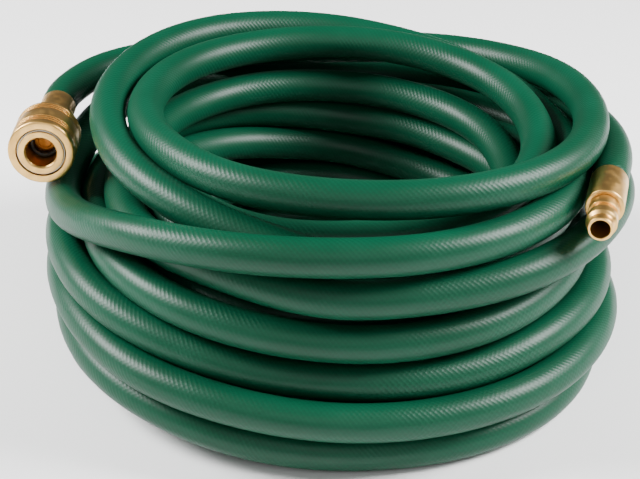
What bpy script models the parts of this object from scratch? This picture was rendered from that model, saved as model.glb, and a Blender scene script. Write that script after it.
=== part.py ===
"""Air hose in a coil, with a quick coupler on one end and a plug on the other.

Metres, +Z up. The origin is on the floor under the middle of the whole object, and the coupler
faces -Y.
"""

import bisect
import math

import bpy
from mathutils import Matrix, Vector

# Hose
HOSE_DIAMETER = 0.015
HOSE_RADIUS = HOSE_DIAMETER / 2
CLEARANCE = 0.0003
CRIMP_DEPTH = 0.001
SIDES_STEPS = 2
ROUTE_STEP = 14

# Coil: rows of turns lying on each other, the last row drawn in from the rim. Its axis stands a
# little off the origin, because the fittings reach further out on one side.
COIL_AXIS = Vector((0.0063, -0.0044, 0))
COIL_ROWS = 5
ROW_SLACK = 0.0004
COIL_OUTER_RADIUS = 0.1215
RIM_LEAN = 0.0006
TOP_ROW_INSET = 0.0105
COIL_BORE_RADIUS = 0.0725
BORE_FLARE = 0.001
FOOT_TURNS = 3
CREASE_ANGLE = 30
ARC_STEP = 42
FOOT_FLAT = 0.0008
COIL_STEPS = 37

# Coupler: rear datum at the ferrule's mouth, given from the coil's axis, front towards -Y
COUPLER_MOUTH = (-0.123, 0.0298, 0.090)
COUPLER_TURN = 0
COUPLER_LENGTH = 0.050
SLEEVE_DIAMETER = 0.0276
SLEEVE_LENGTH = 0.0218
SLEEVE_SETBACK = 0.0004
SLEEVE_CHAMFER = 0.0008
FRONT_LAND = 0.0042
BACK_LAND = 0.0024
BAND_COUNT = 3
BAND_WIDTH = 0.0008
BAND_DEPTH = 0.0005
BODY_DIAMETER = 0.0188
BODY_CHAMFER = 0.0006
SOCKET_DIAMETER = 0.0126
SOCKET_CHAMFER = 0.0007
SOCKET_DEPTH = 0.0092
SEAL_LENGTH = 0.0026
SEAL_BORE = 0.0088
CHAMBER_DIAMETER = 0.0106
VALVE_LENGTH = 0.006
VALVE_CHAMFER = 0.0008
VALVE_WALL = 0.0014
VALVE_FACE = 0.002
SNAP_WIRE = 0.001
SNAP_SETBACK = 0.0012

# Both ends: the ferrule pressed on the hose, and the neck inside it
FERRULE_DIAMETER = 0.0152
FERRULE_WALL = 0.0007
FERRULE_LENGTH = 0.0238
FERRULE_LIP = 0.0012
FERRULE_ROUND = 0.0006
HOSE_IN_FERRULE = 0.020
COLLAR_DIAMETER = 0.0168
COLLAR_LENGTH = 0.0015
NECK_DIAMETER = 0.0096
AIR_BORE = 0.006

# Plug: rear datum at the ferrule's mouth, front swung a little to the left of -Y
PLUG_MOUTH = (0.1067, -0.0480, 0.090)
PLUG_TURN = -13.6
PLUG_LENGTH = 0.0425
NOSE_DIAMETER = 0.0097
NOSE_LENGTH = 0.005
NOSE_CHAMFER = 0.0008
NOSE_BORE = 0.0076
LOCK_RING_DIAMETER = 0.012
LOCK_RING_LENGTH = 0.004
LOCK_RING_CONE = 0.001
LOCK_GROOVE_DIAMETER = 0.0096
LOCK_GROOVE_LENGTH = 0.0035
STOP_RING_DIAMETER = 0.0118

TURNED_STEPS = 32
SMOOTH_ANGLE = math.radians(40)

# The loose turns on top of the coil, as (bearing in degrees, millimetres from the axis, height in
# millimetres). Bearing 0 is +X and 90 is +Y. The first runs from the coupler into the coil.
COUPLER_ROUTE = (
    (158, 132.5, 90), (146, 135, 89.8), (134, 131.5, 88.5), (120, 123.5, 86.5), (105, 116, 85.5),
    (90, 112, 86.5), (75, 111.5, 88.5), (60, 112.3, 90.5), (45, 111.5, 93), (30, 110, 96),
    (15, 107.5, 98.2), (0, 105.8, 99.3), (-15, 104.3, 100.4), (-30, 102.5, 101.4), (-45, 100, 102.2),
    (-60, 97.5, 103), (-90, 92, 104.2), (-120, 87.6, 104.7), (-135, 85.3, 105), (-150, 83.7, 104.8),
    (-180, 82, 104.2), (-210, 81, 104), (-240, 81, 102.7), (-270, 81, 101.2), (-290, 81, 100),
    (-310, 81, 98.4), (-340, 81.6, 94.5), (-360, 81.2, 90), (-375, 81, 87), (-390, 81, 85),
)
# From the plug into the coil.
PLUG_ROUTE = (
    (-10, 116.2, 88.5), (0, 116.5, 86), (20, 118, 80.5), (40, 120, 75), (60, 121.5, 71.5),
    (90, 122, 70.5), (120, 122, 70), (150, 121.5, 69.2), (170, 120.5, 68.6), (186, 119.8, 68.4),
    (200, 118, 73.2), (212, 115.5, 79), (225, 113.5, 83.5), (240, 112, 87), (255, 111.5, 89),
    (270, 111, 89.5), (285, 110, 88.5), (300, 108.5, 87.2), (320, 105.5, 85.5), (340, 101.5, 84.9),
    (360, 96.8, 84.7), (375, 95.7, 84.9), (390, 95.5, 86.5), (405, 95.5, 89.5), (420, 96, 93.5),
    (435, 96.5, 97), (450, 96.5, 101), (465, 96.5, 104), (480, 96.5, 106.5), (500, 97, 108),
    (520, 98, 107), (540, 99, 104), (555, 99.2, 101.3), (570, 98.8, 98.7), (585, 98, 95),
    (600, 96.5, 91), (612, 95.3, 87),
)

HOSE_GREEN = (0.008, 0.155, 0.075, 1)
BRASS = (0.71, 0.48, 0.19, 1)
VALVE_BRASS = (0.55, 0.26, 0.07, 1)
SEAL_BLACK = (0.012, 0.012, 0.012, 1)
SPRING_STEEL = (0.42, 0.40, 0.37, 1)


def clear_scene():
    for obj in list(bpy.data.objects):
        bpy.data.objects.remove(obj, do_unlink=True)


def make_collection(name):
    collection = bpy.data.collections.new(name)
    bpy.context.scene.collection.children.link(collection)
    return collection


def make_material(name, colour, roughness, metallic):
    material = bpy.data.materials.new(name)
    material.use_nodes = True
    shader = material.node_tree.nodes["Principled BSDF"]
    shader.inputs["Base Color"].default_value = colour
    shader.inputs["Roughness"].default_value = roughness
    shader.inputs["Metallic"].default_value = metallic
    material.diffuse_color = colour
    return material


def turned(name, outline, steps, material, collection, parent=None):
    """A solid turned about its own Z axis. The outline is (radius, height) points, down the outside first.

    It closes on itself, unless both ends lie on the axis.
    """
    closed = outline[0][0] > 0 or outline[-1][0] > 0
    count = len(outline)
    edges = [(i, (i + 1) % count) for i in range(count if closed else count - 1)]
    profile = bpy.data.meshes.new(name + "_profile")
    profile.from_pydata([(radius, 0, height) for radius, height in outline], edges, [])
    obj = bpy.data.objects.new(name, profile)
    collection.objects.link(obj)
    screw = obj.modifiers.new("Turn", "SCREW")
    screw.steps = steps
    screw.render_steps = steps
    screw.use_merge_vertices = True
    screw.merge_threshold = 0.00001
    graph = bpy.context.evaluated_depsgraph_get()
    mesh = bpy.data.meshes.new_from_object(obj.evaluated_get(graph))
    obj.modifiers.clear()
    obj.data = mesh
    bpy.data.meshes.remove(profile)
    mesh.name = name
    mesh.shade_smooth()
    mesh.set_sharp_from_angle(angle=SMOOTH_ANGLE)
    mesh.materials.append(material)
    obj.parent = parent
    return obj


def fitting_frame(name, mouth, turn, collection):
    """An empty at the ferrule's mouth whose +Z runs out of the fitting's front."""
    empty = bpy.data.objects.new(name, None)
    empty.empty_display_size = HOSE_DIAMETER
    empty.matrix_world = (
        Matrix.Translation(COIL_AXIS + Vector(mouth))
        @ Matrix.Rotation(math.radians(turn), 4, "Z")
        @ Matrix.Rotation(math.radians(90), 4, "X")
    )
    collection.objects.link(empty)
    return empty


def turn_centres():
    """Centres of the turns that show on the coil's section, clockwise from the top of the bore."""
    rise = HOSE_DIAMETER + ROW_SLACK
    rim = COIL_OUTER_RADIUS - HOSE_RADIUS
    bore = COIL_BORE_RADIUS + HOSE_RADIUS
    top = COIL_ROWS - 1

    def outer(row):
        inset = TOP_ROW_INSET if row == top else 0
        return rim - RIM_LEAN * row - inset, HOSE_RADIUS + rise * row

    def inner(row):
        return bore + BORE_FLARE * (top - row), HOSE_RADIUS + rise * row

    def across(first, last):
        count = FOOT_TURNS
        pitch = (last[0] - first[0]) / (count - 1)
        return [(first[0] + pitch * i, first[1]) for i in range(1, count - 1)]

    centres = [inner(top)] + across(inner(top), outer(top))
    centres += [outer(row) for row in range(top, -1, -1)]
    centres += across(outer(0), inner(0))
    centres += [inner(row) for row in range(0, top)]
    return centres


def coil_outline():
    """The coil's section: an arc for each turn that shows, with a crease between neighbours."""
    centres = turn_centres()
    outline = []
    for i, (radius, height) in enumerate(centres):
        before = centres[i - 1]
        after = centres[(i + 1) % len(centres)]
        start = math.degrees(math.atan2(before[1] - height, before[0] - radius)) - CREASE_ANGLE
        end = math.degrees(math.atan2(after[1] - height, after[0] - radius)) + CREASE_ANGLE
        while end > start:
            end -= 360
        parts = max(2, round((start - end) / ARC_STEP))
        for k in range(parts + 1):
            angle = math.radians(start + (end - start) * k / parts)
            z = height + HOSE_RADIUS * math.sin(angle)
            if z < FOOT_FLAT:
                z = 0.0
            outline.append((radius + HOSE_RADIUS * math.cos(angle), z))
    return outline


def smooth_value(places, values, at):
    """A smooth curve through hand-placed values, read at one place between the first and the last."""
    i = min(max(bisect.bisect_right(places, at) - 1, 0), len(places) - 2)

    def slope(k):
        lower, upper = max(k - 1, 0), min(k + 1, len(places) - 1)
        return (values[upper] - values[lower]) / (places[upper] - places[lower])

    span = places[i + 1] - places[i]
    t = (at - places[i]) / span
    return (
        (2 * t**3 - 3 * t**2 + 1) * values[i]
        + (t**3 - 2 * t**2 + t) * span * slope(i)
        + (3 * t**2 - 2 * t**3) * values[i + 1]
        + (t**3 - t**2) * span * slope(i + 1)
    )


def route_points(route):
    """Points along a loose stretch, one at every step of bearing, from its fitting to the coil."""
    ordered = sorted(route)
    bearings = [stop[0] for stop in ordered]
    first, last = route[0][0], route[-1][0]
    count = round(abs(last - first) / ROUTE_STEP)
    points = []
    for k in range(count + 1):
        bearing = first + (last - first) * k / count
        radius = smooth_value(bearings, [stop[1] for stop in ordered], bearing) / 1000
        height = smooth_value(bearings, [stop[2] for stop in ordered], bearing) / 1000
        angle = math.radians(bearing)
        outwards = Vector((math.cos(angle), math.sin(angle), 0))
        points.append(COIL_AXIS + radius * outwards + Vector((0, 0, height)))
    return points


def hose_stretch(name, route, frame, material, collection):
    """A tube from inside a ferrule to the coil. Its end is pressed thinner where the ferrule grips it."""
    pressed = (FERRULE_DIAMETER / 2 - FERRULE_WALL - CLEARANCE) / HOSE_RADIUS
    to_world = frame.matrix_world
    stops = [
        (to_world @ Vector((0, 0, HOSE_IN_FERRULE)), pressed),
        (to_world @ Vector((0, 0, CLEARANCE)), pressed),
        (to_world @ Vector((0, 0, -2 * CRIMP_DEPTH)), 1),
    ]
    stops += [(point, 1) for point in route_points(route)]
    curve = bpy.data.curves.new(name, "CURVE")
    curve.dimensions = "3D"
    curve.twist_mode = "Z_UP"
    curve.bevel_depth = HOSE_RADIUS
    curve.bevel_resolution = SIDES_STEPS
    curve.use_fill_caps = True
    spline = curve.splines.new("POLY")
    spline.points.add(len(stops) - 1)
    for point, (place, share) in zip(spline.points, stops):
        point.co = (*place, 1)
        point.radius = share
    spline.use_smooth = True
    curve.materials.append(material)
    obj = bpy.data.objects.new(name, curve)
    collection.objects.link(obj)
    return obj


def ferrule_outline():
    """A thin cup pressed on the hose, with a lip round the neck at its front."""
    outer = FERRULE_DIAMETER / 2
    inner = outer - FERRULE_WALL
    lip = NECK_DIAMETER / 2 + CLEARANCE
    return [
        (lip, FERRULE_LENGTH),
        (outer - FERRULE_ROUND, FERRULE_LENGTH),
        (outer, FERRULE_LENGTH - FERRULE_ROUND),
        (outer, 0),
        (inner, 0),
        (inner, FERRULE_LENGTH - FERRULE_LIP),
        (lip, FERRULE_LENGTH - FERRULE_LIP),
    ]


def tail_outline():
    """The neck from the hose's end face, through the ferrule's lip, to a collar in front of it."""
    neck = NECK_DIAMETER / 2
    bore = AIR_BORE / 2
    collar = COLLAR_DIAMETER / 2
    back = HOSE_IN_FERRULE + CLEARANCE
    shoulder = FERRULE_LENGTH + CLEARANCE
    return [
        (bore, shoulder + COLLAR_LENGTH),
        (collar, shoulder + COLLAR_LENGTH),
        (collar, shoulder),
        (neck, shoulder),
        (neck, back),
        (bore, back),
    ]


def coupler_body_back():
    """The body's rear face, which stands on the collar of the tail."""
    return FERRULE_LENGTH + COLLAR_LENGTH + 2 * CLEARANCE


def coupler_body_outline():
    """The socket, the seal's seat and the valve's chamber in one turned piece."""
    front = COUPLER_LENGTH
    outer = BODY_DIAMETER / 2
    groove = SNAP_WIRE / 2 + CLEARANCE
    groove_middle = front - SNAP_SETBACK
    socket = SOCKET_DIAMETER / 2
    seal_end = front - SOCKET_DEPTH - SEAL_LENGTH
    chamber = CHAMBER_DIAMETER / 2
    back = coupler_body_back()
    return [
        (socket + SOCKET_CHAMFER, front),
        (outer - BODY_CHAMFER, front),
        (outer, groove_middle + groove),
        (outer - groove, groove_middle + groove),
        (outer - groove, groove_middle - groove),
        (outer, groove_middle - groove),
        (outer, back),
        (chamber, back),
        (chamber, seal_end),
        (socket, seal_end),
        (socket, front - SOCKET_CHAMFER),
    ]


def banded_side(radius, top, bottom, bands):
    """The outside of a turned sleeve from top to bottom, with shallow square grooves cut in it."""
    side = [(radius, top)]
    for middle in bands:
        half = BAND_WIDTH / 2
        side += [
            (radius, middle + half),
            (radius - BAND_DEPTH, middle + half),
            (radius - BAND_DEPTH, middle - half),
            (radius, middle - half),
        ]
    return side + [(radius, bottom)]


def coupler_sleeve_outline():
    """The sliding sleeve, stopped at the front by the snap ring that lies in its counterbore."""
    front = COUPLER_LENGTH - SLEEVE_SETBACK
    back = front - SLEEVE_LENGTH
    outer = SLEEVE_DIAMETER / 2
    inner = BODY_DIAMETER / 2 + CLEARANCE
    ring = snap_radius() + SNAP_WIRE / 2 + CLEARANCE
    stop = COUPLER_LENGTH - SNAP_SETBACK - SNAP_WIRE / 2 - CLEARANCE
    pitch = 2 * BAND_WIDTH
    bands = [front - FRONT_LAND - pitch * k for k in range(BAND_COUNT)]
    bands += [back + BACK_LAND + pitch * k for k in reversed(range(BAND_COUNT))]
    side = banded_side(outer, front - SLEEVE_CHAMFER, back + SLEEVE_CHAMFER, bands)
    return (
        [(ring, front), (outer - SLEEVE_CHAMFER, front)]
        + side
        + [(outer - SLEEVE_CHAMFER, back), (inner, back), (inner, stop), (ring, stop)]
    )


def snap_radius():
    return BODY_DIAMETER / 2 + SNAP_WIRE / 4


def snap_ring_outline():
    """A round wire, as an eight-sided section."""
    middle = COUPLER_LENGTH - SNAP_SETBACK
    corners = [math.radians(67.5 - 45 * k) for k in range(8)]
    half = SNAP_WIRE / 2
    return [(snap_radius() + half * math.cos(a), middle + half * math.sin(a)) for a in corners]


def seal_outline():
    outer = SOCKET_DIAMETER / 2 - CLEARANCE
    inner = SEAL_BORE / 2
    back = COUPLER_LENGTH - SOCKET_DEPTH - SEAL_LENGTH + CLEARANCE
    front = COUPLER_LENGTH - SOCKET_DEPTH
    edge = (outer - inner) / 3
    return [
        (inner + edge, front),
        (outer - edge, front),
        (outer, front - edge),
        (outer, back),
        (inner, back),
        (inner, front - edge),
    ]


def valve_outline():
    """A sprung cup that slides in the chamber behind the seal, its closed face to the front."""
    outer = CHAMBER_DIAMETER / 2 - CLEARANCE
    front = COUPLER_LENGTH - SOCKET_DEPTH - SEAL_LENGTH
    back = front - VALVE_LENGTH
    return [
        (0, front),
        (outer - VALVE_CHAMFER, front),
        (outer, front - VALVE_CHAMFER),
        (outer, back),
        (outer - VALVE_WALL, back),
        (outer - VALVE_WALL, front - VALVE_FACE),
        (0, front - VALVE_FACE),
    ]


def plug_outline():
    """The plug: a plain nose, the ring and groove that the coupler locks on, and a stop ring."""
    tip = PLUG_LENGTH
    ring = tip - NOSE_LENGTH
    groove = ring - LOCK_RING_LENGTH
    stop = groove - LOCK_GROOVE_LENGTH
    shoulder = FERRULE_LENGTH + CLEARANCE
    nose_radius = NOSE_DIAMETER / 2
    ring_radius = LOCK_RING_DIAMETER / 2
    groove_radius = LOCK_GROOVE_DIAMETER / 2
    stop_radius = STOP_RING_DIAMETER / 2
    back = HOSE_IN_FERRULE + CLEARANCE
    return [
        (NOSE_BORE / 2, tip),
        (nose_radius - NOSE_CHAMFER / 2, tip),
        (nose_radius, tip - NOSE_CHAMFER),
        (nose_radius, ring + LOCK_RING_CONE),
        (ring_radius, ring),
        (ring_radius, groove),
        (groove_radius, groove - LOCK_RING_CONE),
        (groove_radius, stop),
        (stop_radius, stop),
        (stop_radius, shoulder),
        (NECK_DIAMETER / 2, shoulder),
        (NECK_DIAMETER / 2, back),
        (AIR_BORE / 2, back),
        (AIR_BORE / 2, shoulder),
        (NOSE_BORE / 2, stop),
    ]


def make_coupler(collection, brass, valve_brass, black, steel):
    frame = fitting_frame("coupler_axis", COUPLER_MOUTH, COUPLER_TURN, collection)
    pieces = {
        "coupler_ferrule": (ferrule_outline(), brass),
        "coupler_tail": (tail_outline(), brass),
        "coupler_body": (coupler_body_outline(), brass),
        "coupler_sleeve": (coupler_sleeve_outline(), brass),
        "coupler_snap_ring": (snap_ring_outline(), steel),
        "coupler_seal": (seal_outline(), black),
        "coupler_valve": (valve_outline(), valve_brass),
    }
    for name, (outline, material) in pieces.items():
        turned(name, outline, TURNED_STEPS, material, collection, frame)
    return frame


def make_plug(collection, brass):
    frame = fitting_frame("plug_axis", PLUG_MOUTH, PLUG_TURN, collection)
    turned("plug_ferrule", ferrule_outline(), TURNED_STEPS, brass, collection, frame)
    turned("plug_nipple", plug_outline(), TURNED_STEPS, brass, collection, frame)
    return frame


def main():
    clear_scene()
    collection = make_collection("air_hose")
    green = make_material("hose_green", HOSE_GREEN, 0.38, 0.0)
    brass = make_material("turned_brass", BRASS, 0.28, 1.0)
    valve_brass = make_material("valve_brass", VALVE_BRASS, 0.35, 1.0)
    black = make_material("seal_rubber", SEAL_BLACK, 0.6, 0.0)
    steel = make_material("spring_steel", SPRING_STEEL, 0.3, 1.0)
    coupler = make_coupler(collection, brass, valve_brass, black, steel)
    plug = make_plug(collection, brass)
    bpy.context.view_layer.update()
    coil = turned("hose_coil", coil_outline(), COIL_STEPS, green, collection)
    coil.location = COIL_AXIS
    hose_stretch("hose_coupler_end", COUPLER_ROUTE, coupler, green, collection)
    hose_stretch("hose_plug_end", PLUG_ROUTE, plug, green, collection)


main()
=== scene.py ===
"""Coiled air hose with its brass quick coupler and brass plug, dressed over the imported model."""

import math

import bpy
import numpy as np
from mathutils import Matrix, Vector


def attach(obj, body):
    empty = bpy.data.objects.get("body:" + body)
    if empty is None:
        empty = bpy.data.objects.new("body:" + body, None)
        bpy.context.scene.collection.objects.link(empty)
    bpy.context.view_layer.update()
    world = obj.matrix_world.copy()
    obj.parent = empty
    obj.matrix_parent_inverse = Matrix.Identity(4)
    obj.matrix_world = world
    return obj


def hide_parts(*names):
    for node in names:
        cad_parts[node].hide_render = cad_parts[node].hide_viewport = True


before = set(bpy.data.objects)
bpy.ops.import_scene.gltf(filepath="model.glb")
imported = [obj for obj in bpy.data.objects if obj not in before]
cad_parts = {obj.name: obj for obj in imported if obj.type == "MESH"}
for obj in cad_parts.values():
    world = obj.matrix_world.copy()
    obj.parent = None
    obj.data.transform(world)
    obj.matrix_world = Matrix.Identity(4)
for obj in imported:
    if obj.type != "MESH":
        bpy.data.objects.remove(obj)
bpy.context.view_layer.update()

# Metres, +Z up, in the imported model's own frame.

# Camera

VIEW_CENTRE = Vector((-0.0017, -0.0044, 0.0395))
VIEW_DISTANCE = 0.70
VIEW_RISE = math.radians(27.4)
LENS_MM = 90
SENSOR_MM = 36
NEAREST_SEEN = 0.02


def set_camera():
    camera = bpy.data.objects.new("camera", bpy.data.cameras.new("camera"))
    camera.data.lens = LENS_MM
    camera.data.sensor_width = SENSOR_MM
    camera.data.clip_start = NEAREST_SEEN
    back = Vector((0, -math.cos(VIEW_RISE), math.sin(VIEW_RISE)))
    camera.location = VIEW_CENTRE + VIEW_DISTANCE * back
    camera.rotation_euler = back.to_track_quat("Z", "Y").to_euler()
    bpy.context.collection.objects.link(camera)
    bpy.context.scene.camera = camera


# Sizes of the hose and fittings

COIL_AXIS = Vector((0.0063, -0.0044, 0))
HOSE_DIAMETER = 0.015
HOSE_RADIUS = HOSE_DIAMETER / 2
CLEARANCE = 0.0003
HOSE_IN_FERRULE = 0.020
PRESSED_MIDDLE = 0.008
HOSE_END_BEVEL = 0.0004
# How the hose swells out of a ferrule: (distance behind the mouth, what its radius still lacks)
HOSE_SWELL = ((0.0005, 0.0006), (0.0013, 0.0002), (0.0026, 0))

FERRULE_RADIUS = 0.0076
FERRULE_WALL = 0.0007
FERRULE_LENGTH = 0.0238
FERRULE_LIP = 0.0012
FERRULE_EDGE = 0.0007
NECK_RADIUS = 0.0048
AIR_BORE = 0.003

COUPLER_LENGTH = 0.050
COLLAR_RADIUS = 0.0084
COLLAR_LENGTH = 0.0015
BODY_RADIUS = 0.0094
BODY_EDGE = 0.0006
SOCKET_RADIUS = 0.0063
SOCKET_DEPTH = 0.0092
SOCKET_CHAMFER = 0.0007
CHAMBER_RADIUS = 0.0053
SNAP_WIRE = 0.001
SNAP_SETBACK = 0.0012
SNAP_RADIUS = BODY_RADIUS + SNAP_WIRE / 4
SNAP_SIDES = 12
SNAP_EASE = 0.00002
SNAP_GROOVE_EDGE = 0.00005
SEAL_LENGTH = 0.0026
SEAL_BORE = 0.0044
SEAL_EDGE = 0.0006

SLEEVE_RADIUS = 0.0138
SLEEVE_LENGTH = 0.0218
SLEEVE_SETBACK = 0.0004
SLEEVE_EDGE = 0.0009
FRONT_LAND = 0.0042
BACK_LAND = 0.0024
BAND_COUNT = 3
BAND_WIDTH = 0.0008
BAND_DEPTH = 0.0005

VALVE_LENGTH = 0.006
VALVE_WALL = 0.0014
VALVE_FACE = 0.002
VALVE_EDGE = 0.0008
VALVE_RIM = 0.002
VALVE_DISH_DEPTH = 0.0003
VALVE_DISH_SLOPE = 0.0004

PLUG_LENGTH = 0.0425
NOSE_LENGTH = 0.005
NOSE_RADIUS = 0.00485
NOSE_BORE = 0.0038
NOSE_EDGE = 0.0006
LOCK_RING_RADIUS = 0.006
LOCK_RING_LENGTH = 0.004
LOCK_RING_SLOPE = 0.001
LOCK_GROOVE_RADIUS = 0.0048
LOCK_GROOVE_LENGTH = 0.0035
STOP_RING_RADIUS = 0.0059
STOP_RING_EDGE = 0.0003

COUPLER_MOUTH = (-0.123, 0.0298, 0.090)
COUPLER_TURN = 0
PLUG_MOUTH = (0.1067, -0.0480, 0.090)
PLUG_TURN = -13.6

# The hose's lie, end to end: (bearing in degrees, millimetres from the coil's axis, height in
# millimetres). Bearing 0 is +X and 90 is +Y, and it runs on, 360 to each turn.
HOSE_STOPS = (
    # out of the plug, round the back and over the front
    (-10, 114.2, 88.5), (0, 114.5, 86), (20, 115.8, 80.5), (40, 118, 75), (60, 120.5, 71.5),
    (90, 121.5, 70), (120, 122, 71.3), (134, 123, 74), (146, 122.8, 75.7), (158, 120.8, 73.5),
    (170, 117, 68.6), (186, 115.2, 66.6), (195, 114.5, 68.5), (203, 114.3, 72.5), (213, 113.7, 78),
    (225, 113, 83.5), (240, 112, 87), (255, 111.5, 89), (270, 111, 89.5), (285, 110, 88.5),
    (300, 108.5, 87.5), (320, 105.5, 86), (340, 101, 84.5),
    # down inside the rim, across the top of the back, and down behind the bore's turns
    (360, 96.5, 84), (375, 95.5, 84.5), (390, 95.5, 86.5), (405, 95.5, 89.5), (420, 96, 93.5),
    (435, 96.5, 97), (450, 96.5, 101), (465, 96.5, 104), (480, 96.3, 106.5), (500, 96, 108),
    (520, 96.1, 107), (540, 96.3, 104), (555, 96.4, 101.5), (570, 96.4, 98.5), (585, 96.4, 95.5),
    (600, 97, 91), (615, 97, 85), (630, 96, 77), (645, 95, 73), (660, 94.5, 71),
    (720, 95, 68.5), (750, 94.5, 64.5), (780, 94, 59), (810, 93.7, 56), (840, 94.3, 55.5),
    (870, 93.5, 56), (900, 91, 55.5), (930, 91.3, 53), (960, 91.5, 52.3), (990, 90.7, 52.5),
    (1020, 87.8, 53.2), (1050, 84.3, 54),
    # the bore's fourth turn, and out behind to the third row of the front
    (1080, 81.5, 55), (1110, 80.3, 57.7), (1140, 80, 60.5), (1167, 80.3, 63.2), (1185, 83, 66),
    (1201, 87, 69), (1225, 91, 72), (1245, 92.3, 72), (1260, 92.3, 71), (1280, 94.5, 72),
    (1300, 98, 73), (1320, 101.5, 74), (1335, 104.5, 73.5), (1350, 107.3, 72), (1370, 110.5, 71),
    (1390, 115, 72.5), (1410, 117, 74), (1425, 117.5, 74.5),
    # the fourth row
    (1440, 116.5, 73), (1460, 112, 69), (1480, 108.5, 66.5), (1500, 107, 65), (1530, 107, 64),
    (1560, 106.5, 64), (1590, 104.5, 64), (1620, 103, 63.5), (1640, 105, 63), (1660, 109.5, 61),
    (1680, 111.7, 58.5), (1700, 110.7, 54.5), (1720, 110, 52), (1740, 109, 52), (1760, 106, 53),
    (1780, 102.5, 54),
    # the rows below it
    (1800, 100, 53.5), (1830, 103, 52), (1860, 108.5, 51), (1890, 113, 50.3), (1920, 115.5, 51),
    (1950, 117.2, 51), (1980, 118, 51), (2000, 118.3, 50.3), (2020, 118.3, 47),
    (2040, 113.5, 41), (2060, 107.5, 35.5), (2080, 105.5, 33.8), (2100, 106.5, 34.2),
    (2120, 108.5, 36), (2140, 109.5, 34.5),
    (2160, 110.5, 33), (2190, 112, 32.5), (2220, 114, 33.5), (2250, 115, 35.5), (2280, 116, 37),
    (2310, 117.5, 38), (2340, 118.5, 38.5), (2360, 119, 37.5), (2380, 121, 35.2),
    (2400, 122.5, 31.5), (2420, 122, 26.7), (2440, 121, 24), (2460, 120, 22.8),
    (2475, 118.7, 22), (2490, 116.3, 20.7), (2500, 114.2, 19.5),
    (2520, 112, 18.3), (2550, 111.7, 18), (2580, 113, 19), (2610, 113.5, 20.5), (2640, 113.5, 21.5),
    (2670, 113.5, 22.3), (2700, 115, 22.3), (2720, 117, 21.5), (2740, 119.3, 19),
    (2760, 118.7, 14), (2780, 115.7, 9.3), (2800, 115.3, 7.6), (2815, 116.3, 7.5),
    (2830, 115.8, 7.5), (2845, 113.2, 7.5), (2860, 109.5, 7.5),
    # on the floor, the outer turn and then the inner one
    (2880, 105.3, 7.5), (2910, 102, 7.5), (2940, 102.5, 7.5), (2980, 106, 7.5), (3020, 110.5, 7.5),
    (3055, 114, 7.5), (3075, 114.3, 7.5), (3095, 112, 7.5), (3120, 107, 7.5), (3140, 102.8, 7.5),
    (3160, 99.7, 7.5), (3180, 97.5, 7.5), (3200, 95, 7.5), (3220, 91.5, 7.5),
    (3240, 88.5, 7.5), (3270, 85.8, 7.5), (3310, 86.5, 7.5), (3360, 89.5, 7.5), (3400, 90.5, 7.5),
    (3440, 88.5, 7.5), (3480, 84.5, 7.5), (3510, 81.3, 7.5), (3535, 79.2, 9), (3560, 78.4, 13.3),
    (3580, 79, 18),
    # a second row against the bore, out to a middle turn, and up and in again
    (3600, 80, 21.5), (3630, 80.5, 23), (3660, 81, 26), (3690, 82, 31), (3720, 82.3, 33.5),
    (3750, 82.3, 31.5), (3780, 81.5, 27.5), (3810, 80.7, 24.5), (3840, 81, 23), (3870, 83.5, 22.5),
    (3900, 88, 22.3), (3930, 92.5, 22),
    (3960, 96, 21.8), (4000, 98, 21.5), (4050, 98, 20.5), (4095, 98, 21.5), (4140, 98, 22.6),
    (4170, 97.8, 23.3), (4200, 97.4, 25.7), (4230, 97.2, 29.6), (4255, 97, 33.6),
    (4280, 96.8, 36.2),
    (4320, 97, 37), (4365, 98, 36.2), (4410, 99, 35.8), (4455, 100.5, 37), (4490, 100.5, 38),
    (4525, 97, 38.4), (4555, 92, 38.6), (4585, 86.5, 38.5), (4615, 82.7, 38.2), (4645, 80.8, 37.9),
    # up the bore to its third turn from the top
    (4680, 80.3, 37.8), (4710, 79.5, 38.2), (4740, 79.3, 41), (4770, 80, 48), (4785, 80, 51.5),
    (4800, 80, 55.5), (4825, 80, 61.5), (4845, 79, 65.5), (4865, 78, 68), (4905, 78.5, 67.5),
    (4950, 80.5, 65), (4995, 77, 65.5),
    # and its second
    (5040, 74, 68.5), (5070, 76, 74), (5100, 78, 77), (5130, 79.8, 79.3), (5160, 80, 81.5),
    (5190, 80, 83.5), (5220, 80, 85.5), (5250, 80.5, 84.5), (5280, 82, 82), (5310, 82, 80.7),
    (5340, 83.5, 83.5), (5370, 84, 86.5),
    # over the top, and out to the coupler
    (5400, 84, 90.5), (5420, 82.5, 94.5), (5450, 81, 98.4), (5480, 80, 101), (5520, 79, 102.7),
    (5550, 79.4, 104), (5580, 80.3, 104.2), (5610, 83, 104.5), (5640, 87.7, 104.3),
    (5670, 92, 104), (5700, 97.5, 102.5), (5730, 102.5, 100),
    (5760, 106, 98.3), (5775, 107.5, 97.8), (5790, 109.5, 96), (5805, 111, 93),
    (5820, 112, 90.5), (5835, 111.2, 88.5), (5850, 111.3, 87), (5865, 115.3, 86.3),
    (5880, 122.2, 87), (5894, 129.5, 88.5), (5906, 133, 89.7), (5918, 130.4, 90),
)
BEARING_STEP = 2.5
TURN_POINTS = int(360 / BEARING_STEP)
TURN_GAP = HOSE_DIAMETER + 0.00005
STOP_EASING = 2
SETTLING_ROUNDS = 160
SETTLING_STEP = 1.2
SETTLING_SPREAD = 3
NEXT_TO_NOTHING = 1e-6
PLUG_BRIDGE_STEPS = 6
COUPLER_BRIDGE_STEPS = 5
HOSE_SIDES = 28


# How the hose lies

def smooth_way(t, start, leave, end, arrive):
    """Where a smooth way from start to end has got to, as t goes from 0 to 1."""
    return (
        (2 * t**3 - 3 * t**2 + 1) * start + (t**3 - 2 * t**2 + t) * leave
        + (3 * t**2 - 2 * t**3) * end + (t**3 - t**2) * arrive
    )


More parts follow.
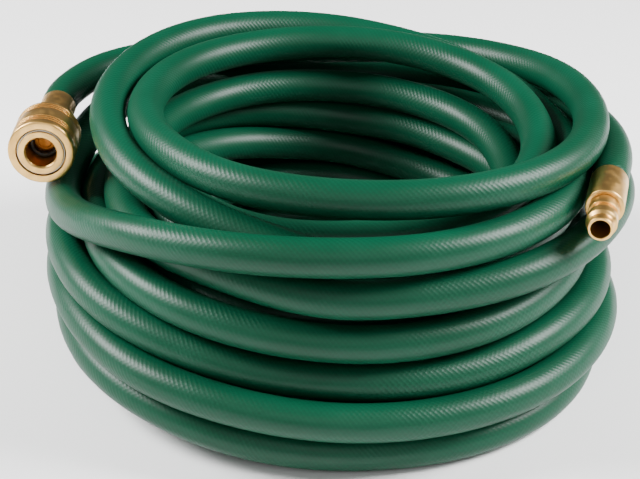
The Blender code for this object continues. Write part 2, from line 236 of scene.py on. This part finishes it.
def smooth_curve(places, values, at):
    """A smooth curve through given values."""
    slopes = np.gradient(values, places)
    i = np.clip(np.searchsorted(places, at, side="right") - 1, 0, len(places) - 2)
    span = places[i + 1] - places[i]
    t = (at - places[i]) / span
    return smooth_way(t, values[i], span * slopes[i], values[i + 1], span * slopes[i + 1])


def eased(rows, width):
    """Rows of numbers smoothed along the hose."""
    reach = 3 * width
    weights = np.exp(-0.5 * (np.arange(-reach, reach + 1) / width) ** 2)
    weights /= weights.sum()
    before = 2 * rows[:1] - rows[reach:0:-1]
    after = 2 * rows[-1:] - rows[-2 : -reach - 2 : -1]
    padded = np.concatenate([before, rows, after])
    columns = [np.convolve(padded[:, c], weights, "valid") for c in range(rows.shape[1])]
    return np.stack(columns, 1)


def settled(section, outwards):
    """Moves turns that would run into each other apart, and keeps the lowest ones on the floor."""
    for _ in range(SETTLING_ROUNDS):
        points = outwards * section[:, :1]
        points[:, 2] = section[:, 1]
        along = np.gradient(points, axis=0)
        along /= np.linalg.norm(along, axis=1)[:, None]
        slant = np.stack([(along * outwards).sum(1), along[:, 2]], 1)
        push = np.zeros_like(section)
        for turns in range(TURN_POINTS, len(section), TURN_POINTS):
            apart = section[turns:] - section[:-turns]
            lost = np.maximum(
                (apart * slant[:-turns]).sum(1) ** 2, (apart * slant[turns:]).sum(1) ** 2
            )
            wide = (apart**2).sum(1)
            gap = np.sqrt(np.maximum(wide - lost, NEXT_TO_NOTHING**2))
            short = np.maximum(TURN_GAP - gap, 0)
            move = apart / np.maximum(np.sqrt(wide), NEXT_TO_NOTHING)[:, None] * (short / 2)[:, None]
            push[turns:] += move
            push[:-turns] -= move
        section = section + SETTLING_STEP * eased(push, SETTLING_SPREAD)
        section[:, 1] = np.maximum(section[:, 1], HOSE_RADIUS)
    return section


def coil_points():
    """The centre line of the wound hose, from behind the plug to behind the coupler."""
    stops = np.array(HOSE_STOPS, float)
    bearings = np.arange(stops[0, 0], stops[-1, 0] + BEARING_STEP / 2, BEARING_STEP)
    radius = smooth_curve(stops[:, 0], stops[:, 1], bearings) / 1000
    height = smooth_curve(stops[:, 0], stops[:, 2], bearings) / 1000
    angles = np.radians(bearings)
    outwards = np.stack([np.cos(angles), np.sin(angles), 0 * angles], 1)
    section = settled(eased(np.stack([radius, height], 1), STOP_EASING), outwards)
    points = outwards * section[:, :1]
    points[:, 2] = section[:, 1]
    return points + np.array(COIL_AXIS)


def fitting_frame(mouth, turn):
    """The ferrule's mouth, with +Z out of the fitting's front."""
    return (
        Matrix.Translation(COIL_AXIS + Vector(mouth))
        @ Matrix.Rotation(math.radians(turn), 4, "Z")
        @ Matrix.Rotation(math.radians(90), 4, "X")
    )


def bridge(start, leave, end, arrive, steps):
    """Points between two places, leaving and arriving in the given directions."""
    reach = np.linalg.norm(end - start)
    leave, arrive = (v / np.linalg.norm(v) * reach for v in (leave, arrive))
    return [smooth_way(k / steps, start, leave, end, arrive) for k in range(1, steps)]


def ferrule_end(place):
    """The pressed end inside a ferrule: (point, hose radius) from its end face to behind the mouth."""
    pressed = FERRULE_RADIUS - FERRULE_WALL - CLEARANCE
    marks = [
        (HOSE_IN_FERRULE, pressed - HOSE_END_BEVEL), (HOSE_IN_FERRULE - HOSE_END_BEVEL, pressed),
        (PRESSED_MIDDLE, pressed), (CLEARANCE, pressed),
    ]
    marks += [(-behind, HOSE_RADIUS - lacking) for behind, lacking in HOSE_SWELL]
    return [(np.array(place @ Vector((0, 0, at))), radius) for at, radius in marks]


def hose_run(plug, coupler):
    """The hose's whole centre line and its radius at each point."""
    coil = coil_points()
    start, end = ferrule_end(plug), ferrule_end(coupler)
    back = [np.array(place.to_3x3() @ Vector((0, 0, -1))) for place in (plug, coupler)]
    first = bridge(start[-1][0], back[0], coil[0], coil[1] - coil[0], PLUG_BRIDGE_STEPS)
    last = bridge(coil[-1], coil[-1] - coil[-2], end[-1][0], -back[1], COUPLER_BRIDGE_STEPS)
    run = start + [(p, HOSE_RADIUS) for p in (*first, *coil, *last)] + end[::-1]
    return np.array([p for p, _ in run]), np.array([r for _, r in run])


# Meshes

CORNER_EASE = 0.00015
EASE_SHARE = 0.4
ARC_STEPS = 3
TURNING_STEPS = 96
ON_AXIS = 1e-9


def add_piece(name, vertices, faces, finish, chart):
    """A smooth-shaded piece. chart gives each face corner's place on the surface."""
    mesh = bpy.data.meshes.new(name)
    mesh.from_pydata([tuple(v) for v in vertices], [], faces)
    layer = mesh.uv_layers.new(name="surface")
    layer.data.foreach_set("uv", np.asarray(chart, np.float32).ravel())
    mesh.materials.append(finish)
    mesh.shade_smooth()
    piece = bpy.data.objects.new(name, mesh)
    bpy.context.collection.objects.link(piece)
    return piece


def make_hose(finish, points, radii):
    """A tube along the run. The chart is the share of the way round, and metres along."""
    along = np.gradient(points, axis=0)
    along /= np.linalg.norm(along, axis=1)[:, None]
    side = np.cross(along, (0, 0, 1))
    side /= np.linalg.norm(side, axis=1)[:, None]
    over = np.cross(side, along)
    metres = np.concatenate([[0], np.cumsum(np.linalg.norm(np.diff(points, axis=0), axis=1))])
    angles = 2 * np.pi * np.arange(HOSE_SIDES) / HOSE_SIDES
    ring = np.cos(angles)[None, :, None] * side[:, None] + np.sin(angles)[None, :, None] * over[:, None]
    vertices = (points[:, None] + radii[:, None, None] * ring).reshape(-1, 3)
    faces, chart = [], []
    for i in range(len(points) - 1):
        for k in range(HOSE_SIDES):
            j = (k + 1) % HOSE_SIDES
            row = i * HOSE_SIDES
            faces.append((row + k, row + HOSE_SIDES + k, row + HOSE_SIDES + j, row + j))
            u, v = k / HOSE_SIDES, (k + 1) / HOSE_SIDES
            chart += [(u, metres[i]), (u, metres[i + 1]), (v, metres[i + 1]), (v, metres[i])]
    last = (len(points) - 1) * HOSE_SIDES
    faces += [tuple(range(HOSE_SIDES)), tuple(range(last + HOSE_SIDES - 1, last - 1, -1))]
    chart += [(k / HOSE_SIDES, 0) for k in range(HOSE_SIDES)]
    chart += [(k / HOSE_SIDES, metres[-1]) for k in range(HOSE_SIDES)]
    return add_piece("hose", vertices, faces, finish, chart)


def rounded(outline, ease):
    """The outline with each corner eased by a small arc, and whether it closes on itself.

    A corner may carry its own ease as a third number.
    """
    closed = outline[0][0] > 0 or outline[-1][0] > 0
    count = len(outline)
    points = [np.array(p[:2], float) for p in outline]
    result = []
    for i, corner in enumerate(points):
        if not closed and i in (0, count - 1):
            result.append(tuple(corner))
            continue
        before, after = points[i - 1] - corner, points[(i + 1) % count] - corner
        own = outline[i][2] if len(outline[i]) > 2 else ease
        cut = min(own, EASE_SHARE * np.linalg.norm(before), EASE_SHARE * np.linalg.norm(after))
        start = corner + before / np.linalg.norm(before) * cut
        end = corner + after / np.linalg.norm(after) * cut
        for k in range(ARC_STEPS + 1):
            t = k / ARC_STEPS
            result.append(tuple((1 - t) ** 2 * start + 2 * t * (1 - t) * corner + t**2 * end))
    return result, closed


def turned(name, outline, place, finish, ease=CORNER_EASE):
    """A piece turned about the fitting's axis, from (radius, distance) corners, outside first."""
    profile, closed = rounded(outline, ease)
    count = len(profile)
    lengths = [0.0]
    for i in range(count):
        lengths.append(lengths[-1] + math.dist(profile[i], profile[(i + 1) % count]))
    vertices, rows = [], []
    for radius, height in profile:
        if radius <= ON_AXIS:
            rows.append([len(vertices)] * TURNING_STEPS)
            vertices.append(place @ Vector((0, 0, height)))
            continue
        rows.append(list(range(len(vertices), len(vertices) + TURNING_STEPS)))
        for k in range(TURNING_STEPS):
            angle = 2 * math.pi * k / TURNING_STEPS
            spot = Vector((radius * math.cos(angle), radius * math.sin(angle), height))
            vertices.append(place @ spot)
    faces, chart = [], []
    for i in range(count if closed else count - 1):
        upper, lower = rows[i], rows[(i + 1) % count]
        for k in range(TURNING_STEPS):
            j = (k + 1) % TURNING_STEPS
            corners = [
                (upper[k], k, lengths[i]), (lower[k], k, lengths[i + 1]),
                (lower[j], k + 1, lengths[i + 1]), (upper[j], k + 1, lengths[i]),
            ]
            kept = [c for n, c in enumerate(corners) if c[0] != corners[n - 1][0]]
            faces.append(tuple(c[0] for c in kept))
            chart += [(c[1] / TURNING_STEPS, c[2]) for c in kept]
    return add_piece(name, vertices, faces, finish, chart)


# Shader maths

class Level:
    """A shader socket that takes part in plain arithmetic."""

    def __init__(self, finish, socket):
        self.finish, self.socket = finish, socket

    def maths(self, operation, *others):
        sockets = {k + 1: other for k, other in enumerate(others)}
        return self.finish.node("Math", {"operation": operation}, {0: self, **sockets})

    def reflected(self, operation, other):
        return self.finish.node("Math", {"operation": operation}, {0: other, 1: self})

    def __add__(self, other):
        return self.maths("ADD", other)

    __radd__ = __add__

    def __mul__(self, other):
        return self.maths("MULTIPLY", other)

    __rmul__ = __mul__

    def __sub__(self, other):
        return self.maths("SUBTRACT", other)

    def __rsub__(self, other):
        return self.reflected("SUBTRACT", other)

    def __pow__(self, other):
        return self.maths("POWER", other)

    def sine(self):
        return self.maths("SINE")

    def between(self, low, high):
        """0 at low and 1 at high, eased, and held outside them."""
        return self.finish.node(
            "MapRange", {"interpolation_type": "SMOOTHSTEP"},
            {"Value": self, "From Min": low, "From Max": high},
        )


class Finish:
    """One material, its shader and the nodes that feed it."""

    def __init__(self, name, **constants):
        self.material = bpy.data.materials.new(name)
        self.material.use_nodes = True
        self.tree = self.material.node_tree
        self.shader = self.tree.nodes["Principled BSDF"]
        for socket, value in constants.items():
            self.shader.inputs[socket.replace("_", " ")].default_value = value

    def node(self, kind, settings=(), sockets=(), output=0):
        made = self.tree.nodes.new("ShaderNode" + kind)
        for setting, value in dict(settings).items():
            setattr(made, setting, value)
        for socket, value in dict(sockets).items():
            if isinstance(value, Level):
                self.tree.links.new(value.socket, made.inputs[socket])
            else:
                made.inputs[socket].default_value = value
        return Level(self, made.outputs[output])

    def place(self):
        return self.node("TexCoord", output="Object")

    def chart(self):
        """The share of the way round, and the metres along the piece."""
        surface = self.node("UVMap", {"uv_map": "surface"})
        return (self.node("SeparateXYZ", {}, {0: surface}, output=axis) for axis in ("X", "Y"))

    def at(self, x, y, z=0.0):
        return self.node("CombineXYZ", {}, {0: x, 1: y, 2: z})

    def noise(self, where, scale, detail=2.0):
        sockets = {"Vector": where, "Scale": scale, "Detail": detail, "Roughness": 0.5}
        return self.node("TexNoise", {}, sockets)

    def tint(self, share, first, second):
        """The first colour, turning to the second as share goes from 0 to 1."""
        sockets = {0: share, 6: first, 7: second}
        return self.node("Mix", {"data_type": "RGBA"}, sockets, output=2)

    def feed(self, socket, value):
        self.tree.links.new(value.socket, self.shader.inputs[socket])

    def relief(self, height, distance):
        bump = self.node("Bump", {}, {"Height": height, "Distance": distance, "Strength": 1.0})
        self.feed("Normal", bump)


def rgb(red, green, blue):
    return (red, green, blue, 1)


# Finishes

BRAID_STRANDS = 19
BRAID_PER_METRE = 480
RIB_SHARPNESS = 1.3

DEEP_GREEN = rgb(0.0, 0.036, 0.0155)
MIDDLE_GREEN = rgb(0.0, 0.045, 0.0205)
RIB_GREEN = rgb(0.0, 0.066, 0.032)
BRIGHT_BRASS = rgb(0.81, 0.50, 0.16)
DULL_BRASS = rgb(0.58, 0.33, 0.085)
# Painted shade: darker, browner copies of the brass colours, for the valve at the bottom of the socket
SHADED_BROWN_BRASS = rgb(0.30, 0.11, 0.022)
SHADED_DARK_BRASS = rgb(0.20, 0.065, 0.012)
CLEAN_RUBBER = rgb(0.010, 0.010, 0.010)
DUSTY_RUBBER = rgb(0.030, 0.028, 0.026)
BRIGHT_STEEL = rgb(0.50, 0.46, 0.40)
DULL_STEEL = rgb(0.30, 0.27, 0.23)
WHITE_PAPER = rgb(0.93, 0.93, 0.93)
OFF_WHITE_PAPER = rgb(0.90, 0.90, 0.90)


def hose_cover():
    """Satin green cover, drawn down over a braid whose strands show as fine slanted ribs."""
    finish = Finish("hose_cover", Specular_IOR_Level=0.22)
    round_way, metres = finish.chart()
    spot = finish.place()
    lead = 2 * math.pi * BRAID_STRANDS
    climb = 2 * math.pi * BRAID_PER_METRE
    wander = finish.noise(spot, scale=60) * 1.4
    right = (round_way * lead + metres * climb + wander).sine()
    left = (round_way * lead - metres * climb + wander).sine()
    ribs = (right * 0.5 + 0.5) ** RIB_SHARPNESS * 0.7 + (left * 0.5 + 0.5) ** RIB_SHARPNESS * 0.3
    patchy = finish.noise(spot, scale=45, detail=3).between(0.35, 0.75)
    grain = finish.noise(spot, scale=1400)
    wavy = finish.noise(spot, scale=95)
    finish.relief(ribs * (0.35 + patchy * 0.5) + grain * 0.12 + wavy * 0.9, distance=0.00009)
    shade = finish.noise(spot, scale=22, detail=3).between(0.3, 0.7)
    green = finish.tint(shade, DEEP_GREEN, MIDDLE_GREEN)
    finish.feed("Base Color", finish.tint(ribs * 0.3, green, RIB_GREEN))
    finish.feed("Roughness", 0.37 + grain * 0.08 + patchy * 0.04)
    return finish.material


def turned_brass(name="turned_brass", bright=BRIGHT_BRASS, dull=DULL_BRASS):
    """Lathe-turned brass: fine tool marks round the axis, and a little darkening."""
    finish = Finish(name, Metallic=1.0)
    round_way, metres = finish.chart()
    spot = finish.place()
    cut = finish.noise(finish.at(metres * 9000, 0, round_way * 3), scale=1, detail=3)
    coarse = finish.noise(finish.at(metres * 1500, 0, round_way * 2), scale=1)
    handled = finish.noise(spot, scale=260, detail=4).between(0.42, 0.68)
    stain = finish.noise(spot, scale=90, detail=3).between(0.35, 0.75)
    finish.relief(cut * 0.7 + coarse * 0.6, distance=0.000035)
    colour = finish.tint(stain * 0.6 + cut * 0.15, bright, dull)
    finish.feed("Base Color", finish.tint(handled * 0.3, colour, dull))
    finish.feed("Roughness", 0.26 + cut * 0.12 + handled * 0.1)
    return finish.material


def seal_rubber():
    """Black rubber with a fine grain, and a little dust on it."""
    finish = Finish("seal_rubber")
    spot = finish.place()
    grain = finish.noise(spot, scale=2500, detail=3)
    dust = finish.noise(spot, scale=500).between(0.45, 0.8)
    finish.relief(grain, distance=0.00004)
    finish.feed("Base Color", finish.tint(dust * 0.5, CLEAN_RUBBER, DUSTY_RUBBER))
    finish.feed("Roughness", 0.45 + grain * 0.15)
    return finish.material


def spring_steel():
    """Drawn wire: long faint scratches round the ring."""
    finish = Finish("spring_steel", Metallic=1.0)
    round_way, metres = finish.chart()
    drawn = finish.noise(finish.at(metres * 14000, round_way * 5), scale=1, detail=3)
    finish.relief(drawn, distance=0.00002)
    finish.feed("Base Color", finish.tint(drawn, BRIGHT_STEEL, DULL_STEEL))
    finish.feed("Roughness", 0.22 + drawn * 0.2)
    return finish.material


def paper_floor():
    finish = Finish("paper_floor", Roughness=0.9)
    fibres = finish.noise(finish.place(), scale=900, detail=3)
    finish.feed("Base Color", finish.tint(fibres, OFF_WHITE_PAPER, WHITE_PAPER))
    return finish.material


# Fittings

def make_ferrule(name, place, brass):
    """A cup over the hose's end, open at its mouth, with a lip in front round the neck."""
    inner = FERRULE_RADIUS - FERRULE_WALL
    lip = NECK_RADIUS + CLEARANCE
    front = FERRULE_LENGTH
    outline = [
        (lip, front), (FERRULE_RADIUS, front, FERRULE_EDGE), (FERRULE_RADIUS, 0), (inner, 0),
        (inner, front - FERRULE_LIP), (lip, front - FERRULE_LIP),
    ]
    return turned(name + "_cup", outline, place, brass)


def make_coupler_tail(place, brass):
    """The neck in the ferrule, and the collar in front of it."""
    back = HOSE_IN_FERRULE + CLEARANCE
    shoulder = FERRULE_LENGTH + CLEARANCE
    front = shoulder + COLLAR_LENGTH
    outline = [
        (AIR_BORE, front), (COLLAR_RADIUS, front), (COLLAR_RADIUS, shoulder),
        (NECK_RADIUS, shoulder), (NECK_RADIUS, back), (AIR_BORE, back),
    ]
    return turned("coupler_neck", outline, place, brass)


def make_coupler_body(place, brass):
    """The body: its socket, the groove of the snap ring, and the valve's chamber."""
    front = COUPLER_LENGTH
    back = FERRULE_LENGTH + COLLAR_LENGTH + 2 * CLEARANCE
    groove = SNAP_WIRE / 2 + CLEARANCE
    middle = front - SNAP_SETBACK
    seal_end = front - SOCKET_DEPTH - SEAL_LENGTH
    outline = [
        (SOCKET_RADIUS + SOCKET_CHAMFER, front), (BODY_RADIUS, front, BODY_EDGE),
        (BODY_RADIUS, middle + groove, SNAP_GROOVE_EDGE), (BODY_RADIUS - groove, middle + groove),
        (BODY_RADIUS - groove, middle - groove), (BODY_RADIUS, middle - groove, SNAP_GROOVE_EDGE),
        (BODY_RADIUS, back), (CHAMBER_RADIUS, back), (CHAMBER_RADIUS, seal_end),
        (SOCKET_RADIUS, seal_end), (SOCKET_RADIUS, front - SOCKET_CHAMFER),
    ]
    return turned("coupler_socket", outline, place, brass)


def make_sleeve(place, brass):
    """The plain sleeve, with fine turned bands behind its front land and near its back."""
    front = COUPLER_LENGTH - SLEEVE_SETBACK
    back = front - SLEEVE_LENGTH
    inner = BODY_RADIUS + CLEARANCE
    ring = SNAP_RADIUS + SNAP_WIRE / 2 + CLEARANCE
    stop = COUPLER_LENGTH - SNAP_SETBACK - SNAP_WIRE / 2 - CLEARANCE
    pitch = 2 * BAND_WIDTH
    bands = [front - FRONT_LAND - pitch * k for k in range(BAND_COUNT)]
    bands += [back + BACK_LAND + pitch * k for k in reversed(range(BAND_COUNT))]
    cut, half = SLEEVE_RADIUS - BAND_DEPTH, BAND_WIDTH / 2
    outline = [(ring, front), (SLEEVE_RADIUS, front, SLEEVE_EDGE)]
    for middle in bands:
        outline += [
            (SLEEVE_RADIUS, middle + half), (cut, middle + half),
            (cut, middle - half), (SLEEVE_RADIUS, middle - half),
        ]
    outline += [(SLEEVE_RADIUS, back, SLEEVE_EDGE), (inner, back), (inner, stop), (ring, stop)]
    return turned("coupler_collar", outline, place, brass)


def make_snap_ring(place, steel):
    """The round wire ring that stops the sleeve at its front."""
    middle = COUPLER_LENGTH - SNAP_SETBACK
    half = SNAP_WIRE / 2
    turn = 360 / SNAP_SIDES
    corners = [math.radians(90 - turn / 2 - turn * k) for k in range(SNAP_SIDES)]
    outline = [(SNAP_RADIUS + half * math.cos(a), middle + half * math.sin(a)) for a in corners]
    return turned("coupler_wire_ring", outline, place, steel, ease=SNAP_EASE)


def make_seal(place, black):
    """The rubber ring behind the socket."""
    outer = SOCKET_RADIUS - CLEARANCE
    back = COUPLER_LENGTH - SOCKET_DEPTH - SEAL_LENGTH + CLEARANCE
    front = COUPLER_LENGTH - SOCKET_DEPTH
    outline = [
        (SEAL_BORE, front, SEAL_EDGE), (outer, front, SEAL_EDGE), (outer, back), (SEAL_BORE, back),
    ]
    return turned("coupler_packing", outline, place, black)


def make_valve(place, brass):
    """The sprung cup: its dished face shows at the bottom of the socket."""
    outer = CHAMBER_RADIUS - CLEARANCE
    front = COUPLER_LENGTH - SOCKET_DEPTH - SEAL_LENGTH
    back = front - VALVE_LENGTH
    inner = outer - VALVE_WALL
    rim = outer - VALVE_RIM
    dish = front - VALVE_DISH_DEPTH
    outline = [
        (0, dish), (rim - VALVE_DISH_SLOPE, dish), (rim, front), (outer, front, VALVE_EDGE),
        (outer, back), (inner, back), (inner, front - VALVE_FACE), (0, front - VALVE_FACE),
    ]
    return turned("coupler_shutter", outline, place, brass)


def make_plug(place, brass):
    """Plain nose, the ring and groove that lock in a socket, and a stop ring."""
    tip = PLUG_LENGTH
    ring = tip - NOSE_LENGTH
    groove = ring - LOCK_RING_LENGTH
    stop = groove - LOCK_GROOVE_LENGTH
    shoulder = FERRULE_LENGTH + CLEARANCE
    back = HOSE_IN_FERRULE + CLEARANCE
    outline = [
        (NOSE_BORE, tip), (NOSE_RADIUS, tip, NOSE_EDGE), (NOSE_RADIUS, ring + LOCK_RING_SLOPE),
        (LOCK_RING_RADIUS, ring), (LOCK_RING_RADIUS, groove),
        (LOCK_GROOVE_RADIUS, groove - LOCK_RING_SLOPE), (LOCK_GROOVE_RADIUS, stop),
        (STOP_RING_RADIUS, stop, STOP_RING_EDGE), (STOP_RING_RADIUS, shoulder),
        (NECK_RADIUS, shoulder), (NECK_RADIUS, back), (AIR_BORE, back), (AIR_BORE, shoulder),
        (NOSE_BORE, stop),
    ]
    return turned("plug_stem", outline, place, brass)


# Floor and light

FLOOR_REACH = 3
FLOOR_DROP = 0.0002
LIGHT_AIM = (0, 0, 0.05)
SIDE_POWER = 46
FRONT_POWER = 9
WORLD_STRENGTH = 0.14


def make_floor(finish):
    signs = ((-1, -1), (1, -1), (1, 1), (-1, 1))
    corners = [(x * FLOOR_REACH, y * FLOOR_REACH, 0) for x, y in signs]
    floor = add_piece("floor", corners, [(0, 1, 2, 3)], finish, [(0, 0), (1, 0), (1, 1), (0, 1)])
    floor.location.z = -FLOOR_DROP


def add_softbox(name, place, width, height, power):
    lamp = bpy.data.lights.new(name, "AREA")
    lamp.shape = "RECTANGLE"
    lamp.size, lamp.size_y, lamp.energy = width, height, power
    box = bpy.data.objects.new(name, lamp)
    box.location = place
    box.rotation_euler = (Vector(place) - Vector(LIGHT_AIM)).to_track_quat("Z", "Y").to_euler()
    bpy.context.collection.objects.link(box)


def light_scene():
    world = bpy.data.worlds.new("studio")
    bpy.context.scene.world = world
    world.use_nodes = True
    world.node_tree.nodes["Background"].inputs["Color"].default_value = rgb(1, 1, 1)
    world.node_tree.nodes["Background"].inputs["Strength"].default_value = WORLD_STRENGTH
    add_softbox("softbox_left", (-1.0, 0.05, 0.8), width=0.5, height=0.5, power=SIDE_POWER)
    add_softbox("softbox_right", (1.0, -0.05, 0.8), width=0.5, height=0.5, power=SIDE_POWER)
    add_softbox("softbox_front", (0, -1.5, 1.1), width=1.6, height=1.0, power=FRONT_POWER)


# The whole

def join_piece(piece, node, body):
    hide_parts(node)
    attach(piece, body)
    return piece


def main():
    set_camera()
    coupler = fitting_frame(COUPLER_MOUTH, COUPLER_TURN)
    plug = fitting_frame(PLUG_MOUTH, PLUG_TURN)
    points, radii = hose_run(plug, coupler)
    hose = make_hose(hose_cover(), points, radii)
    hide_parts("hose_coil", "hose_coupler_end", "hose_plug_end")
    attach(hose, "root")
    brass = turned_brass()
    plug_cup = join_piece(make_ferrule("plug", plug, brass), "plug_ferrule", "root")
    plug_stem = join_piece(make_plug(plug, brass), "plug_nipple", "root")
    join_piece(make_ferrule("coupler", coupler, brass), "coupler_ferrule", "root")
    join_piece(make_coupler_tail(coupler, brass), "coupler_tail", "root")
    join_piece(make_coupler_body(coupler, brass), "coupler_body", "root")
    join_piece(make_sleeve(coupler, brass), "coupler_sleeve", "sleeve")
    join_piece(make_snap_ring(coupler, spring_steel()), "coupler_snap_ring", "root")
    join_piece(make_seal(coupler, seal_rubber()), "coupler_seal", "root")
    # The valve's brass is a copy darkened with painted shade for its place deep in the socket
    valve_brass = turned_brass("valve_brass", SHADED_BROWN_BRASS, SHADED_DARK_BRASS)
    join_piece(make_valve(coupler, valve_brass), "coupler_valve", "valve")
    make_floor(paper_floor())
    light_scene()


main()
